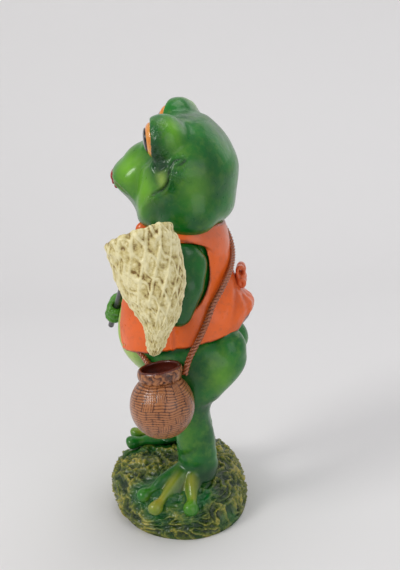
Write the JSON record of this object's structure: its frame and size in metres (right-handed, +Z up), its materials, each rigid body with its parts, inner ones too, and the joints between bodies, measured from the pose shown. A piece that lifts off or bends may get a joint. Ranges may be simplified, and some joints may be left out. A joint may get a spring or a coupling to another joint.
{
  "type": "frog figurine",
  "caption": "Glazed-look cast frog ornament standing on a mossy mound in a tied vest, holding a landing net by its pole, with a round fish basket slung at its hip.",
  "frame": {"origin": "centre of the flat underside of the mound, below the middle of the body", "axes": "+Z up; -Y towards the front, where the frog's snout points; +X towards the frog's own left, the side with the net and the basket"},
  "size_m": [0.129, 0.0903, 0.244],
  "materials": {
    "moss": "painted cast resin, dark green and olive under clear gloss",
    "belly": "painted cast resin, pale green under clear gloss",
    "skin": "painted cast resin, deep green with yellow-green spray under clear gloss",
    "eye_ring": "painted cast resin, orange, glossy",
    "eye_dark": "painted cast resin, black, glossy",
    "lip": "painted cast resin, red, glossy",
    "vest_orange": "painted cast resin, orange, glossy",
    "strap_brown": "painted cast resin, red-brown, glossy",
    "wicker": "painted cast resin, brown wash over a woven texture, glossy",
    "pole_grey": "painted rod, dark grey, glossy",
    "net_cream": "painted cast resin, cream with a brown wash, glossy",
    "pin_steel": "plain wire"
  },
  "bodies": {
    "root": {"base_mound": "moss", "torso": "belly", "head": "skin", "left_leg": "skin", "right_leg": "skin", "left_foot": "skin", "right_foot": "skin", "left_arm": "skin", "right_arm": "skin", "left_hand": "skin", "right_hand": "skin", "left_eye": "eye_ring", "right_eye": "eye_ring", "left_pupil": "eye_dark", "right_pupil": "eye_dark", "upper_lip": "lip", "lower_lip": "lip", "vest": "vest_orange", "vest_bow": "vest_orange", "shoulder_strap": "strap_brown", "basket": "wicker", "net_pole": "pole_grey", "net_hoop": "net_cream", "net_bag": "net_cream", "neck_pin": "pin_steel", "left_leg_rod": "pin_steel", "right_leg_rod": "pin_steel", "left_shoulder_pin": "pin_steel", "right_shoulder_pin": "pin_steel"}
  },
  "joints": []
}
